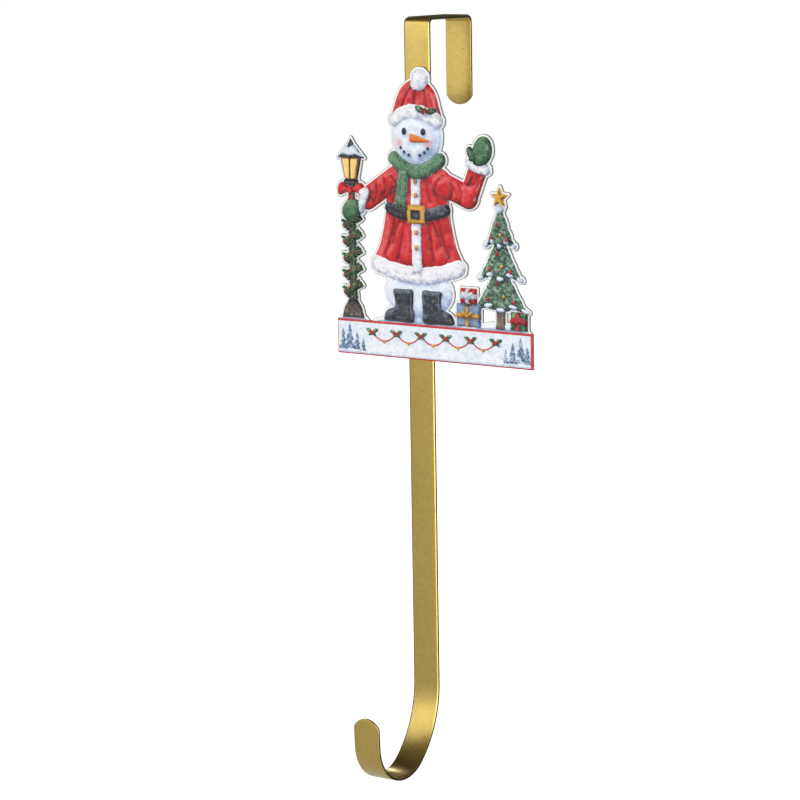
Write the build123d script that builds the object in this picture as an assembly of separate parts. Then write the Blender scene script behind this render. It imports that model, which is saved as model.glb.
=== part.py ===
from build123d import *
from math import atan2, cos, radians, sin
import os

# Over-the-door hanger, in millimetres. A gold strip of steel hooks over the top of a door,
# runs down its front and curls forward into a hook. A die-cut, embossed tin plaque sits flat
# on the front of the strip. Origin: middle of the underside of the bridge, where the hanger
# rests on the door. +X to the right, +Y towards the back of the door, +Z up.

# Strap
strap_width = 20.0
strap_thickness = 2.0
door_gap = 44.5
top_bend_radius = 2.75
rear_leg_length = 56.5
hook_start_drop = 433.6
hook_lead_radius = 65.3
hook_lead_angle = 46.5
hook_bowl_radius = 25.9
hook_bowl_angle = 131.3
hook_arm_length = 19.1
tip_rise = 6.0
strap_edge_bevel = 0.4

# Plaque sheet
sheet_thickness = 1.2
margin = 1.5
board_width = 155.0
board_height = 23.35
board_corner_radius = 1.8
board_offset_x = 10.8
board_top_drop = 195.65
border_rise = 0.35
border_width = 1.6

# Places of the figures along the top of the board
lamp_inset = 13.6
tree_inset = 24.3
parcel_inset = 49.0

# Relief heights above the sheet
low_rise = 0.9
mid_rise = 1.6
high_rise = 2.3
top_rise = 3.0
head_rise = 3.6
bevel = 0.8
fine_bevel = 0.35

# Worked out from the sizes above
half_gap = door_gap / 2
board_left = board_offset_x - board_width / 2
board_right = board_offset_x + board_width / 2
lamp_x = board_left + lamp_inset
tree_x = board_right - tree_inset
parcel_x = board_right - parcel_inset


def strap_centreline():
    """Side view of the strap, along +Y and +Z, from the rear tip to the tip of the hook."""
    leg_y = half_gap + strap_thickness / 2
    bridge_z = strap_thickness / 2
    bend = top_bend_radius + strap_thickness / 2
    rear_leg = Line((leg_y, -rear_leg_length), (leg_y, bridge_z - bend))
    rear_bend = JernArc(rear_leg @ 1, (0, 1), bend, 90)
    bridge = Line(rear_bend @ 1, (bend - leg_y, bridge_z))
    front_bend = JernArc(bridge @ 1, (-1, 0), bend, 90)
    front_leg = Line(front_bend @ 1, (-leg_y, -hook_start_drop))
    lead_radius = hook_lead_radius + strap_thickness / 2
    lead = JernArc(front_leg @ 1, (0, -1), lead_radius, -hook_lead_angle)
    bowl_radius = hook_bowl_radius + strap_thickness / 2
    bowl = JernArc(lead @ 1, lead % 1, bowl_radius, -hook_bowl_angle)
    arm = Line(bowl @ 1, bowl @ 1 + (bowl % 1) * hook_arm_length)
    return Curve() + [rear_leg, rear_bend, bridge, front_bend, front_leg, lead, bowl, arm]


def tip_waste(tip, up):
    """What is cut away around a rounded tip, seen from the front. up is 1 or -1."""
    half = strap_width / 2
    corner_z = tip.Z - up * tip_rise
    past_z = tip.Z + up * strap_thickness
    outline = Curve() + [
        ThreePointArc((-half, corner_z), (0, tip.Z), (half, corner_z)),
        Polyline((half, corner_z), (strap_width, corner_z), (strap_width, past_z),
                 (-strap_width, past_z), (-strap_width, corner_z), (-half, corner_z)),
    ]
    waste = Plane.XZ.offset(-tip.Y) * make_face(outline)
    return extrude(waste, amount=strap_width, both=True)


def make_strap():
    centreline = strap_centreline()
    side = Plane.YZ * trace(centreline, strap_thickness)
    strap = extrude(side, amount=strap_width / 2, both=True)
    rear_tip = Plane.YZ.from_local_coords(centreline.edges()[0] @ 0)
    hook_tip = Plane.YZ.from_local_coords(centreline.edges()[-1] @ 1)
    strap -= tip_waste(rear_tip, -1)
    strap -= tip_waste(hook_tip, 1)
    return chamfer(strap.edges(), strap_edge_bevel)


# The plaque is drawn as seen from the front: x to the right from the middle of the strap,
# y up from the top of the board, z out of the sheet.

def plate(points, radius):
    """Flat shape with straight sides and rounded corners."""
    return make_face(FilletPolyline(*points, radius=radius, close=True))


def sharp_plate(points):
    """Flat shape with straight sides and sharp corners."""
    return make_face(Polyline(*points, close=True))


def bar(start, end, width):
    """Straight band with round ends."""
    return SlotArc(Line(start, end), width)


def strip(start, end, width):
    """Straight band with pointed ends."""
    start, end = Vector(start), Vector(end)
    ahead = (end - start).normalized() * width / 2
    side = Vector(-ahead.Y, ahead.X)
    return sharp_plate([start + side, start - ahead, start - side,
                        end - side, end + ahead, end + side])


def band(start, middle, end, width):
    """Curved band with round ends."""
    return SlotArc(ThreePointArc(start, middle, end), width)


def oval(x, y, half_width, half_height, turn=0):
    """Oval of four arcs that run smoothly into each other."""
    if half_width < half_height:
        return oval(x, y, half_height, half_width, turn + 90)
    end_radius = 0.9 * half_height**2 / half_width
    end_x = half_width - end_radius
    side_radius = (end_x**2 + half_height**2 - end_radius**2) / (2 * (half_height - end_radius))
    join_angle = atan2(side_radius - half_height, end_x)
    join_x = end_x + end_radius * cos(join_angle)
    join_y = end_radius * sin(join_angle)
    outline = Curve() + [
        ThreePointArc((join_x, -join_y), (half_width, 0), (join_x, join_y)),
        ThreePointArc((join_x, join_y), (0, half_height), (-join_x, join_y)),
        ThreePointArc((-join_x, join_y), (-half_width, 0), (-join_x, -join_y)),
        ThreePointArc((-join_x, -join_y), (0, -half_height), (join_x, -join_y)),
    ]
    return Pos(x, y) * Rot(0, 0, turn) * make_face(outline)


def block(x, y, width, height):
    return Pos(x, y) * Rectangle(width, height)


def star(x, y, radius):
    """Five-pointed star with one point up."""
    tips = [radius if i % 2 == 0 else radius * 0.45 for i in range(10)]
    angles = [radians(90 + 36 * i) for i in range(10)]
    points = [(x + r * cos(a), y + r * sin(a)) for r, a in zip(tips, angles)]
    return sharp_plate(points)


def mound(x, half_width, rise):
    """Low heap with its flat side on the board."""
    start = (x - half_width, 0)
    end = (x + half_width, 0)
    return make_face(Curve() + [ThreePointArc(start, (x, rise), end), Line(end, start)])


def snow_banks():
    banks = [mound(lamp_x, 11.5, 5), mound(0, 37, 6), mound(tree_x, 22, 5)]
    return [(bank, low_rise, fine_bevel, False) for bank in banks]


def snowman_body():
    coat = plate([(-14, 104), (14, 104), (26, 97), (25, 76), (35, 38), (-35, 38),
                  (-25, 76), (-26, 97)], 4)
    return [
        (oval(0, 21, 27, 17), mid_rise, bevel, True),
        (coat, mid_rise, bevel, True),
        (band((-32, 38), (0, 32), (32, 38), 11), high_rise, bevel, True),
        (block(0, 56, 7.5, 44), high_rise, bevel, False),
        (block(0, 88, 7.5, 22), high_rise, bevel, False),
        (band((-22, 75), (0, 71), (22, 75), 8), high_rise, bevel, False),
        (block(0, 71.5, 14, 12), top_rise, fine_bevel, False),
    ]


def boot(side):
    leg = sharp_plate([(4 * side, 22), (19 * side, 22), (18 * side, 11), (25 * side, 8),
                       (27.5 * side, 4.5), (27 * side, 1), (4 * side, 1)])
    return (leg, high_rise, bevel, True)


def snowman_arms():
    cuff_far = strip((-41, 84), (-46, 73), 7)
    cuff_raised = strip((42, 106), (54, 102), 7)
    return [
        (bar((-20, 93), (-40, 80), 15), high_rise, bevel, True),
        (cuff_far, top_rise, bevel, False),
        (oval(-53, 72, 8.5, 7, 30), top_rise, bevel, True),
        (bar((20, 92), (40, 84), 15), high_rise, bevel, True),
        (bar((40, 84), (47, 101), 14), high_rise, bevel, True),
        (cuff_raised, top_rise, bevel, False),
        (oval(51, 114, 7.5, 9.5, -15), top_rise, bevel, True),
        (strip((43.5, 110.3), (41.5, 113.7), 6), high_rise, fine_bevel, False),
    ]


def snowman_head():
    cap = plate([(-18.5, 133), (-15, 148), (-5, 157), (8, 157), (16, 148), (18.5, 133)], 6)
    carrot = sharp_plate([(-2.5, 124), (-2.5, 118), (12, 119)])
    return [
        (band((-18, 107), (0, 99), (18, 107), 9.5), top_rise, bevel, False),
        (sharp_plate([(-14, 100), (-5, 100), (-8, 76), (-17, 77)]), top_rise, bevel, False),
        (cap, top_rise, bevel, True),
        (carrot, head_rise + low_rise, fine_bevel, False),
    ]


def lamp_post():
    foot = sharp_plate([(-9, 1), (9, 1), (7, 8), (3.5, 13), (-3.5, 13), (-7, 8)])
    lantern = sharp_plate([(-5, 91), (5, 91), (8.5, 107), (-8.5, 107)])
    roof = sharp_plate([(-11, 106), (11, 106), (3.5, 114), (-3.5, 114)])
    finial = sharp_plate([(-2.6, 115), (0, 113), (2.6, 115), (0, 119)])
    pieces = [
        (foot, high_rise, bevel, False),
        (block(0, 51, 5.5, 80), mid_rise, bevel, False),
        (block(0, 90, 12, 3), mid_rise, fine_bevel, False),
        (lantern, mid_rise, bevel, True),
        (roof, high_rise, bevel, False),
        (finial, mid_rise, fine_bevel, False),
        (sharp_plate([(1, 85), (-8, 90), (-11, 87), (-10, 81)]), high_rise, bevel, False),
        (sharp_plate([(-1, 85), (8, 90), (11, 87), (10, 81)]), high_rise, bevel, False),
    ]
    for turn in range(5):
        rise = 18 + 11 * turn
        pieces.append((strip((-5, rise), (5, rise + 5), 6), high_rise, bevel, False))
    return [(Pos(lamp_x, 0) * face, *rest) for face, *rest in pieces]


def fir_tier(base, half, height):
    """One tier of boughs: a peak over five drooping points."""
    droops = [(half * (1 - 0.5 * i), base + (i % 2) * 2.5) for i in range(5)]
    return sharp_plate([(0, base + height), *droops])


def fir_tree():
    pieces = [
        (block(0, 7, 7, 12), mid_rise, bevel, False),
        (fir_tier(12, 20.5, 34), low_rise, bevel, True),
        (fir_tier(32, 16.5, 32), mid_rise, bevel, True),
        (fir_tier(53, 11.5, 28), high_rise, bevel, True),
        (star(0, 85, 7), top_rise, fine_bevel, False),
    ]
    return [(Pos(tree_x, 0) * face, *rest) for face, *rest in pieces]


def parcel(x, y, width, height):
    """Wrapped box with a raised ribbon round it."""
    return [
        (block(x, y + height / 2, width, height), high_rise, bevel, True),
        (block(x, y + height / 2, 3, height), top_rise, fine_bevel, False),
        (block(x, y + height / 2, width, 3), top_rise, fine_bevel, False),
    ]


def relief():
    """Every raised shape, by group: face, height above the sheet, bevel, pressed hollow or not."""
    return [
        snow_banks(),
        snowman_body() + [boot(-1), boot(1)],
        snowman_arms(),
        snowman_head(),
        lamp_post(),
        fir_tree(),
        parcel(parcel_x, 1, 19, 15) + parcel(parcel_x, 16, 13, 10) + parcel(tree_x + 14, 1, 13, 12),
    ]


def domes():
    """Rounded shapes: x, y, radius, height above the sheet."""
    return [(0, 121.5, 19.5, head_rise), (3, 158, 7, top_rise)]


def bevelled(face, base, top, edge):
    """Solid from base to top with a bevel round its top."""
    solid = Pos(0, 0, base) * extrude(face, amount=top - base)
    return chamfer(solid.faces().sort_by(Axis.Z)[-1].edges(), edge)


def dome_cap(x, y, radius, height, base):
    ball_radius = (radius**2 + height**2) / (2 * height)
    ball = Pos(x, y, base + height - ball_radius) * Rot(90, 0, 0) * Sphere(ball_radius)
    above = (Align.CENTER, Align.CENTER, Align.MIN)
    return ball & Pos(x, y, base) * Cylinder(radius * 2, height * 2, align=above)


def fused(solids):
    return solids[0] + solids[1:] if len(solids) > 1 else solids[0]


def board_face():
    centre = Pos(board_offset_x, -board_height / 2)
    return centre * RectangleRounded(board_width, board_height, board_corner_radius)


def board_border():
    """Raised bead round the edge of the board."""
    inner_width = board_width - 2 * border_width
    inner_height = board_height - 2 * border_width
    window = Pos(board_offset_x, -board_height / 2) * Rectangle(inner_width, inner_height)
    bead = Pos(0, 0, sheet_thickness / 2) * (board_face() - window)
    return extrude(bead, amount=sheet_thickness / 2 + border_rise)


def plaque_outline():
    """The board and every shape with a margin of sheet round it."""
    faces = [offset(face, margin) for group in relief() for face, *_ in group]
    faces += [Pos(x, y) * Circle(radius + margin) for x, y, radius, _ in domes()]
    return board_face() + faces


def embossed(group):
    """The front of one group of shapes, rooted in the sheet."""
    root = sheet_thickness / 2
    return fused([bevelled(face, root, sheet_thickness + height, edge)
                  for face, height, edge, _ in group])


def pressed(group):
    """The hollow behind one group of shapes, which leaves the sheet's thickness all over."""
    below = Pos(0, 0, -sheet_thickness)
    return fused([below * extrude(offset(face, -sheet_thickness), amount=sheet_thickness + height)
                  for face, height, _, hollow in group if hollow])


def make_plaque():
    groups = relief()
    front = [embossed(group) for group in groups] + [board_border()]
    front += [dome_cap(*dome, sheet_thickness) for dome in domes()]
    plaque = extrude(plaque_outline(), amount=sheet_thickness) + front
    for group in groups:
        if any(hollow for *_, hollow in group):
            plaque -= pressed(group)
    for x, y, radius, height in domes():
        plaque -= dome_cap(x, y, radius - sheet_thickness, height, 0)
    seat = Plane((0, -half_gap - strap_thickness, -board_top_drop), (1, 0, 0), (0, -1, 0))
    return seat * plaque


os.makedirs("parts", exist_ok=True)
export_step(make_strap(), "parts/hanger_strap.step")
export_step(make_plaque(), "parts/plaque.step")
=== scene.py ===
import math

import bpy
import numpy as np
from mathutils import Matrix, Vector
from mathutils.geometry import delaunay_2d_cdt


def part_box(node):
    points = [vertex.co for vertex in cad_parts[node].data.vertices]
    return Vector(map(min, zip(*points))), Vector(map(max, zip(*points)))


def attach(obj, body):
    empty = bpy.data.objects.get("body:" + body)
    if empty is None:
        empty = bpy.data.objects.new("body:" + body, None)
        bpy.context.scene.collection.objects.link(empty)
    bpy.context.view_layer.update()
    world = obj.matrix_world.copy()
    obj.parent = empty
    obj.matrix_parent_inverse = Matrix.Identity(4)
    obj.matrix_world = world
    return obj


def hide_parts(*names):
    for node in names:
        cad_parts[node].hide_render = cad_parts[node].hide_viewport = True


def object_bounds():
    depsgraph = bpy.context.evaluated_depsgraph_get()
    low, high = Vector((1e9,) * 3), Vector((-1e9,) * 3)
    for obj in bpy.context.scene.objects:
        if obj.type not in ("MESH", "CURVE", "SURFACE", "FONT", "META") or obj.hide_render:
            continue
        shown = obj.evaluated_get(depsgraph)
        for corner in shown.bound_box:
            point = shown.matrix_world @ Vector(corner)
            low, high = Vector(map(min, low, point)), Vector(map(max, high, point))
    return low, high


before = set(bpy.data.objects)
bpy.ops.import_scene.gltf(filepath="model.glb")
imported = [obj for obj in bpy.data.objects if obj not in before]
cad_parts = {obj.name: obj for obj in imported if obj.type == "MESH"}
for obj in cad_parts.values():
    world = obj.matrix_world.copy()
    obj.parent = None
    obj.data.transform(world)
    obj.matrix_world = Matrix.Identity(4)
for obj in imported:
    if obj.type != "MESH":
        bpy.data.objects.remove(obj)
cad_low, cad_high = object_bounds()

# Sizes in millimetres, as in the part's own frame
MM = 0.001
strap_low, strap_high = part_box("hanger_strap")
plaque_low, plaque_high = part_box("plaque")
PLAQUE_BACK_Y = plaque_high.y / MM
BOARD_HEIGHT = 23.35
BOARD_LEFT = plaque_low.x / MM
BOARD_RIGHT = plaque_high.x / MM
BOARD_TOP_Z = plaque_low.z / MM + BOARD_HEIGHT
SHEET = 1.2
MARGIN = 1.5
BOARD_FOOT = 2.2 - BOARD_HEIGHT
SWAG_FROM = -38
SWAG_TO = 60
SWAG_POSTS = 6
SWAG_TOP = -7.5
SWAG_SAG = 5.5
SWAG_WIDTH = 0.95
LAMP_X = BOARD_LEFT + 13.6
TREE_X = BOARD_RIGHT - 24.3
PARCEL_X = BOARD_RIGHT - 49.0

# Strap, with the solid's lengths and radii and its angles in degrees
STRAP_THICKNESS = 2.0
TOP_BEND = 2.75
REAR_LEG = 56.5
HOOK_START = 433.6
LEAD_RADIUS = 65.3
LEAD_ANGLE = 46.5
BOWL_RADIUS = 25.9
BOWL_ANGLE = 131.3
HOOK_ARM = 19.1
TIP_RISE = 6.0
# Each bevel from the flat face to the side: how far in, and how far below the face
WIDE_BEVEL = ((1.15, 0.0), (1.0, 0.03), (0.27, 0.41), (0.08, 0.53), (0.0, 0.68))
SMALL_BEVEL = ((0.5, 0.0), (0.4, 0.02), (0.1, 0.17), (0.0, 0.32))
TIP_STEPS = 22
TIP_CLEAR = 0.3
LINE_STEP = 12.0
ARC_STEP = 0.9

# Mesh spacing on the plaque
OUTLINE_STEP = 0.55
FRONT_STEP = 0.6
BACK_STEP = 1.7
KEEP_OFF = 0.25
EDGE_BAND = 0.4
EDGE_ROLL = 0.3
BACK_SLACK = 0.1

# Scales of the painted texture, in features per metre
BRUSH_SCALE = 330
SPECKLE_SCALE = 1300
LEAF_SCALE = 620
RIPPLE_SCALE = 650
GRAIN_SCALE = 2400
CLOUD_SCALE = 20
PATCH_SCALE = 560
PIT_SCALE = 420

# Depths of the finest unevenness, in metres
RIPPLE_DEPTH = 0.0005
GRAIN_DEPTH = 0.00005

# Heights above the sheet
LOW, MID, HIGH, TOP, HEAD = 0.9, 1.6, 2.3, 3.0, 3.6


# Outlines, as closed rings of points

def noise(points, scale, seed):
    """Smooth noise from 0 to 1 with features of about the given size."""
    rng = np.random.RandomState(seed)
    table = rng.rand(64, 64)
    cell = points / scale + 100
    base = np.floor(cell).astype(int)
    part = cell - base
    part = part * part * (3 - 2 * part)
    i, j = base[:, 0] % 64, base[:, 1] % 64
    i2, j2 = (i + 1) % 64, (j + 1) % 64
    low = table[i, j] * (1 - part[:, 0]) + table[i2, j] * part[:, 0]
    high = table[i, j2] * (1 - part[:, 0]) + table[i2, j2] * part[:, 0]
    return low * (1 - part[:, 1]) + high * part[:, 1]


def resample(points):
    """Splits each side of a ring into short equal steps and keeps its corners."""
    points = np.asarray(points, float)
    ring = []
    for start, end in zip(points, np.roll(points, -1, axis=0)):
        steps = max(1, int(math.ceil(np.linalg.norm(end - start) / OUTLINE_STEP)))
        for i in range(steps):
            ring.append(start + (end - start) * i / steps)
    return np.array(ring)


def smooth(points):
    """Closed curve through a few points."""
    points = np.asarray(points, float)
    count = len(points)
    ring = []
    for i in range(count):
        before, start, end, after = (points[(i + k) % count] for k in (-1, 0, 1, 2))
        steps = max(3, int(np.linalg.norm(end - start) / OUTLINE_STEP))
        for t in np.arange(steps) / steps:
            pull = 2 * before - 5 * start + 4 * end - after
            push = -before + 3 * start - 3 * end + after
            ring.append(0.5 * (2 * start + (end - before) * t + pull * t**2 + push * t**3))
    return np.array(ring)


def polygon(points):
    """Ring with straight sides between a few corners."""
    return resample(points)


def oval(x, y, half_width, half_height, turn=0):
    around = 2 * math.pi * max(half_width, half_height)
    count = max(16, int(around / OUTLINE_STEP))
    angle = np.arange(count) * 2 * math.pi / count
    a, b = half_width * np.cos(angle), half_height * np.sin(angle)
    c, s = math.cos(math.radians(turn)), math.sin(math.radians(turn))
    return np.column_stack([x + a * c - b * s, y + a * s + b * c])


def along(path, width):
    """Band with round ends along a path."""
    path = np.asarray(path, float)
    ahead = np.gradient(path, axis=0)
    ahead /= np.linalg.norm(ahead, axis=1)[:, None]
    side = np.column_stack([-ahead[:, 1], ahead[:, 0]]) * width / 2
    turn = np.linspace(0, math.pi, 9)[1:-1]
    cap = []
    for centre, forward in ((path[-1], ahead[-1]), (path[0], -ahead[0])):
        across = np.array([-forward[1], forward[0]])
        cap.append([centre + (across * math.cos(a) + forward * math.sin(a)) * width / 2 for a in turn])
    return resample(np.vstack([path + side, cap[0], (path - side)[::-1], cap[1]]))


def bar(start, end, width):
    """Straight band with round ends."""
    return along(np.linspace(start, end, 6), width)


def band(start, middle, end, width):
    """Band that bends through its middle point."""
    t = np.linspace(0, 1, 24)[:, None]
    start, middle, end = (np.asarray(p, float) for p in (start, middle, end))
    control = 2 * middle - (start + end) / 2
    return along((1 - t) ** 2 * start + 2 * t * (1 - t) * control + t**2 * end, width)


def box(x, y, width, height):
    w, h = width / 2, height / 2
    return polygon([(x - w, y - h), (x + w, y - h), (x + w, y + h), (x - w, y + h)])


def ruffled(ring, amount, size, seed):
    """A ring whose sides wander a little, like fur or foliage."""
    ahead = np.roll(ring, -1, axis=0) - np.roll(ring, 1, axis=0)
    side = np.column_stack([ahead[:, 1], -ahead[:, 0]])
    side /= np.maximum(np.linalg.norm(side, axis=1), 1e-9)[:, None]
    return ring + side * (noise(ring, size, seed) - 0.5)[:, None] * 2 * amount


def leaf(x, y, length, width, turn):
    """Pointed leaf that starts at x, y and grows in the direction of turn, in degrees."""
    t = np.linspace(0, 1, 9)
    half = width / 2 * np.sin(math.pi * t) ** 0.8
    there = np.column_stack([t * length, half])
    back = np.column_stack([t * length, -half])[-2:0:-1]
    a, b = np.vstack([there, back]).T
    c, s = math.cos(math.radians(turn)), math.sin(math.radians(turn))
    return polygon(np.column_stack([a * c - b * s, a * s + b * c]) + (x, y))


STAR_WAIST = 0.45


def star(x, y, radius):
    reach = [radius if i % 2 == 0 else radius * STAR_WAIST for i in range(10)]
    turn = [math.radians(90 + 36 * i) for i in range(10)]
    return polygon([(x + r * math.cos(a), y + r * math.sin(a)) for r, a in zip(reach, turn)])


def mound(x, half_width, rise):
    """Low rounded bank that stands on the board."""
    t = np.linspace(-1, 1, 25)
    return polygon(np.column_stack([x + half_width * t, rise * (1 - t**2)]))


# The picture, from the back to the front: outline, height, puff width, paint

def placed(x, shapes):
    """Shapes drawn about their own middle, moved to x."""
    return [(ring + np.array([x, 0]), *rest) for ring, *rest in shapes]


def snow_banks():
    places = ((LAMP_X, 11.5, 5), (0, 37, 6), (TREE_X, 22, 5))
    return [(mound(*place), LOW, 3, "snow") for place in places]


# Balls of one tier of the tree: how far out, how far up and their paint
TREE_BALLS = ((-0.45, 0.24, "berry"), (0.12, 0.3, "gold"), (0.5, 0.2, "berry"), (-0.1, 0.55, "berry"))


def fir_tier(base, half, height, rise):
    """Rough boughs with snow on their tips and a few balls."""
    droops = [(half * (1 - 0.5 * i), base + (i % 2) * 2.5) for i in range(5)]
    shapes = [(ruffled(polygon([(0, base + height)] + droops), 0.45, 1.3, 11), rise, 4, "fir")]
    for i, side in enumerate((-1, -0.5, 0, 0.5, 1)):
        cap = oval(half * side * 0.93, base + (i % 2) * 2.5 + 1.6, half * 0.16, 1.5, -20 * side)
        shapes.append((ruffled(cap, 0.25, 1.5, 12), rise + 0.3, 1.4, "snow"))
    for side, up, paint in TREE_BALLS:
        shapes.append((oval(half * side, base + height * up, 1.25, 1.25), rise + 0.5, 1.2, paint))
    return shapes


def fir_tree():
    shapes = [(box(0, 7, 7, 12), MID, 2.5, "bark")]
    for base, half, height, rise in ((12, 20.5, 34, LOW), (32, 16.5, 32, MID), (53, 11.5, 28, HIGH)):
        shapes += fir_tier(base, half, height, rise)
    shapes.append((ruffled(oval(0, 78, 3.2, 2.6), 0.25, 1.5, 13), HIGH + 0.3, 2, "snow"))
    shapes.append((star(0, 85, 7), TOP, 1.6, "gold"))
    return placed(TREE_X, shapes)


def parcel(x, y, width, height, paint, ribbon):
    """Wrapped box, its ribbon both ways and a bow where they cross."""
    middle = y + height / 2
    return placed(x, [
        (box(0, middle, width, height), HIGH, 2.2, paint),
        (box(0, middle, 3, height), TOP, 1.2, ribbon),
        (box(0, middle, width, 3), TOP, 1.2, ribbon),
        (oval(-2.4, middle + 1.2, 2.3, 1.3, -30), TOP + 0.3, 1, ribbon),
        (oval(2.4, middle + 1.2, 2.3, 1.3, 30), TOP + 0.3, 1, ribbon),
        (oval(0, middle, 1.2, 1.2), TOP + 0.5, 1, ribbon),
    ])


# Leaves and berries of one turn of the garland: place, and the way each leaf points
GARLAND_LEAVES = ((-6.4, 1.2, 150), (-3.2, -1, 250), (-1, 4, 100), (2, 1, 300), (4.4, 6, 60), (6.6, 4, 10))
GARLAND_BERRIES = ((-4.5, 0.3), (-0.5, 3.4), (4, 4.6))
GARLAND_FOOT = 18
GARLAND_PITCH = 11


def garland():
    """Leafy turns round the post, each with berries."""
    shapes = []
    for turn in range(5):
        rise = GARLAND_FOOT + GARLAND_PITCH * turn
        shapes.append((ruffled(bar((-5, rise), (5, rise + 5), 5.6), 0.45, 1.4, turn), HIGH, 2.4, "leaf"))
        for x, y, lean in GARLAND_LEAVES:
            shapes.append((leaf(x * 0.75, rise + y * 0.8 + 0.6, 4, 2, lean), HIGH + 0.4, 0.9, "leaf"))
        for x, y in GARLAND_BERRIES:
            shapes.append((oval(x, rise + y, 1, 1), TOP, 0.9, "berry"))
    return shapes


def lamp_post():
    """Post with its foot, lantern, snow on the roof, garland and bow."""
    roof_snow = [(-10, 107), (-6, 111), (-3, 114.4), (3, 114.4), (6, 111), (10, 107), (5, 108.6),
                 (0, 107.6), (-5, 108.6)]
    left_loop = [(1, 85), (-4, 88.6), (-8, 90), (-10.8, 87), (-10, 81.5), (-5, 83)]
    left_tail = [(-0.5, 84), (-2.5, 80), (-5, 76.5), (-2, 76), (0.4, 80)]
    shapes = [
        (polygon([(-9, 1), (9, 1), (7, 8), (3.5, 13), (-3.5, 13), (-7, 8)]), HIGH, 2, "iron"),
        (box(0, 51, 5.5, 80), MID, 2.2, "iron"),
        (box(0, 14.5, 8, 2.4), MID + 0.4, 1.2, "iron"),
        (box(0, 90, 12, 3), MID + 0.2, 1.2, "iron"),
        (polygon([(-5, 91), (5, 91), (8.5, 107), (-8.5, 107)]), MID, 2, "iron"),
        (polygon([(-3.8, 92.5), (-0.6, 92.5), (-0.6, 105.5), (-6.4, 105.5)]), MID + 0.2, 1.5, "glow"),
        (polygon([(0.6, 92.5), (3.8, 92.5), (6.4, 105.5), (0.6, 105.5)]), MID + 0.2, 1.5, "glow"),
        (polygon([(-11, 106), (11, 106), (3.5, 114), (-3.5, 114)]), HIGH, 2, "iron"),
        (ruffled(smooth(roof_snow), 0.2, 1.6, 14), HIGH + 0.3, 1.6, "snow"),
        (polygon([(-2.6, 115), (0, 113), (2.6, 115), (0, 119)]), MID, 1.6, "iron"),
    ]
    shapes += garland()
    for ring, rise in ((left_tail, HIGH), (left_loop, HIGH + 0.3)):
        shapes.append((smooth(ring), rise, 2, "berry"))
        shapes.append((smooth([(-x, y) for x, y in ring]), rise, 2, "berry"))
    shapes.append((oval(0, 85, 2.4, 2.6), TOP, 1.6, "berry"))
    return placed(LAMP_X, shapes)


def boot(side):
    leg = [(4, 22), (11.5, 22.4), (19, 22), (18.4, 16), (19, 10.8), (25, 8.2), (27.6, 4.8),
           (27, 1.2), (15.5, 0.8), (4, 1.2), (3.8, 11.5)]
    return (smooth([(x * side, y) for x, y in leg]), HIGH, 3, "leather")


def snowman_body():
    coat = [(-12, 104), (0, 105), (12, 104), (23, 100), (26, 94), (25, 80), (26, 68), (30, 52), (35, 38),
            (18, 36), (0, 35), (-18, 36), (-35, 38), (-30, 52), (-26, 68), (-25, 80), (-26, 94), (-23, 100)]
    shapes = [
        (oval(0, 21, 27, 17), MID, 8, "snow"),
        boot(-1),
        boot(1),
        (smooth(coat), MID + 0.3, 9, "coat"),
        (ruffled(band((-32, 38), (0, 32), (32, 38), 11), 0.4, 2.2, 15), HIGH, 3.6, "fur"),
        (ruffled(box(0, 56, 7.5, 44), 0.35, 2, 16), HIGH, 2.6, "fur"),
        (ruffled(box(0, 88, 7.5, 22), 0.35, 2, 17), HIGH, 2.6, "fur"),
        (band((-22, 75), (0, 71), (22, 75), 8), HIGH, 2, "leather"),
        (box(0, 71.5, 14, 12), TOP, 1.4, "gold"),
        (box(0, 71.5, 7.5, 6), HIGH, 0.8, "leather"),
    ]
    shapes += [(oval(0, y, 1.7, 1.7), HIGH + 0.6, 1.2, "gold") for y in (60, 50, 84, 93)]
    return shapes


def snowman_arms():
    return [
        (bar((-20, 93), (-40, 80), 15), HIGH, 5, "coat"),
        (ruffled(bar((-41, 84), (-46, 73), 7), 0.35, 1.8, 18), TOP, 3, "fur"),
        (oval(-53, 72, 8.5, 7, 30), TOP, 4, "mitten"),
        (bar((20, 92), (40, 84), 15), HIGH, 5, "coat"),
        (bar((40, 84), (47, 101), 14), HIGH, 5, "coat"),
        (ruffled(bar((42, 106), (54, 102), 7), 0.35, 1.8, 19), TOP, 3, "fur"),
        (oval(51, 114, 7.5, 9.5, -15), TOP, 4, "mitten"),
        (oval(42.5, 112, 3, 5, 30), HIGH, 2, "mitten"),
    ]


def scarf_fringe():
    return [(bar((x, 78), (x + 0.2 * (x + 17) / 9, 74.6), 1.3), TOP, 0.8, "scarf")
            for x in (-15.6, -13.6, -11.6, -9.6)]


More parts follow.
